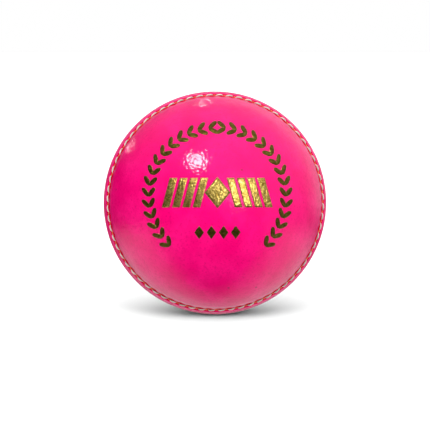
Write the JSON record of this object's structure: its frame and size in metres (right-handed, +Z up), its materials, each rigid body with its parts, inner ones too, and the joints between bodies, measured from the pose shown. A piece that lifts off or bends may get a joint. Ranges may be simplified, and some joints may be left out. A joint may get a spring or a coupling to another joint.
{
  "type": "cricket ball",
  "caption": "Round leather-cased sports ball: two cups sewn together along a raised stitched seam, over a core of cork and wound yarn.",
  "frame": {"origin": "centre of the ball", "axes": "+Z is up. The axis of the cups runs along Y, from the front cup's pole on -Y to the back cup's on +Y, but leans 5 degrees, front pole up, as the ball lies on the band beside its seam"},
  "size_m": [0.0728, 0.0716, 0.0728],
  "materials": {
    "leather": "lacquered, glossy, fine grain",
    "stitch_thread": "waxed twisted linen",
    "lock_thread": "waxed twisted linen",
    "cork": "matte, cut cork",
    "yarn": "matte worsted yarn"
  },
  "bodies": {
    "root": {"back_cup": "leather", "back_inner_lock_thread": "lock_thread", "back_inner_stitch_thread": "stitch_thread", "back_middle_lock_thread": "lock_thread", "back_middle_stitch_thread": "stitch_thread", "back_outer_lock_thread": "lock_thread", "back_outer_stitch_thread": "stitch_thread", "cork_nucleus": "cork", "first_cork_strip_1": "cork", "first_cork_strip_2": "cork", "first_cork_strip_3": "cork", "first_cork_strip_4": "cork", "first_yarn_winding": "yarn", "front_cup": "leather", "front_inner_lock_thread": "lock_thread", "front_inner_stitch_thread": "stitch_thread", "front_middle_lock_thread": "lock_thread", "front_middle_stitch_thread": "stitch_thread", "front_outer_lock_thread": "lock_thread", "front_outer_stitch_thread": "stitch_thread", "outer_yarn_winding": "yarn", "second_cork_strip_1": "cork", "second_cork_strip_2": "cork", "second_cork_strip_3": "cork", "second_cork_strip_4": "cork", "second_yarn_winding": "yarn"}
  },
  "joints": []
}
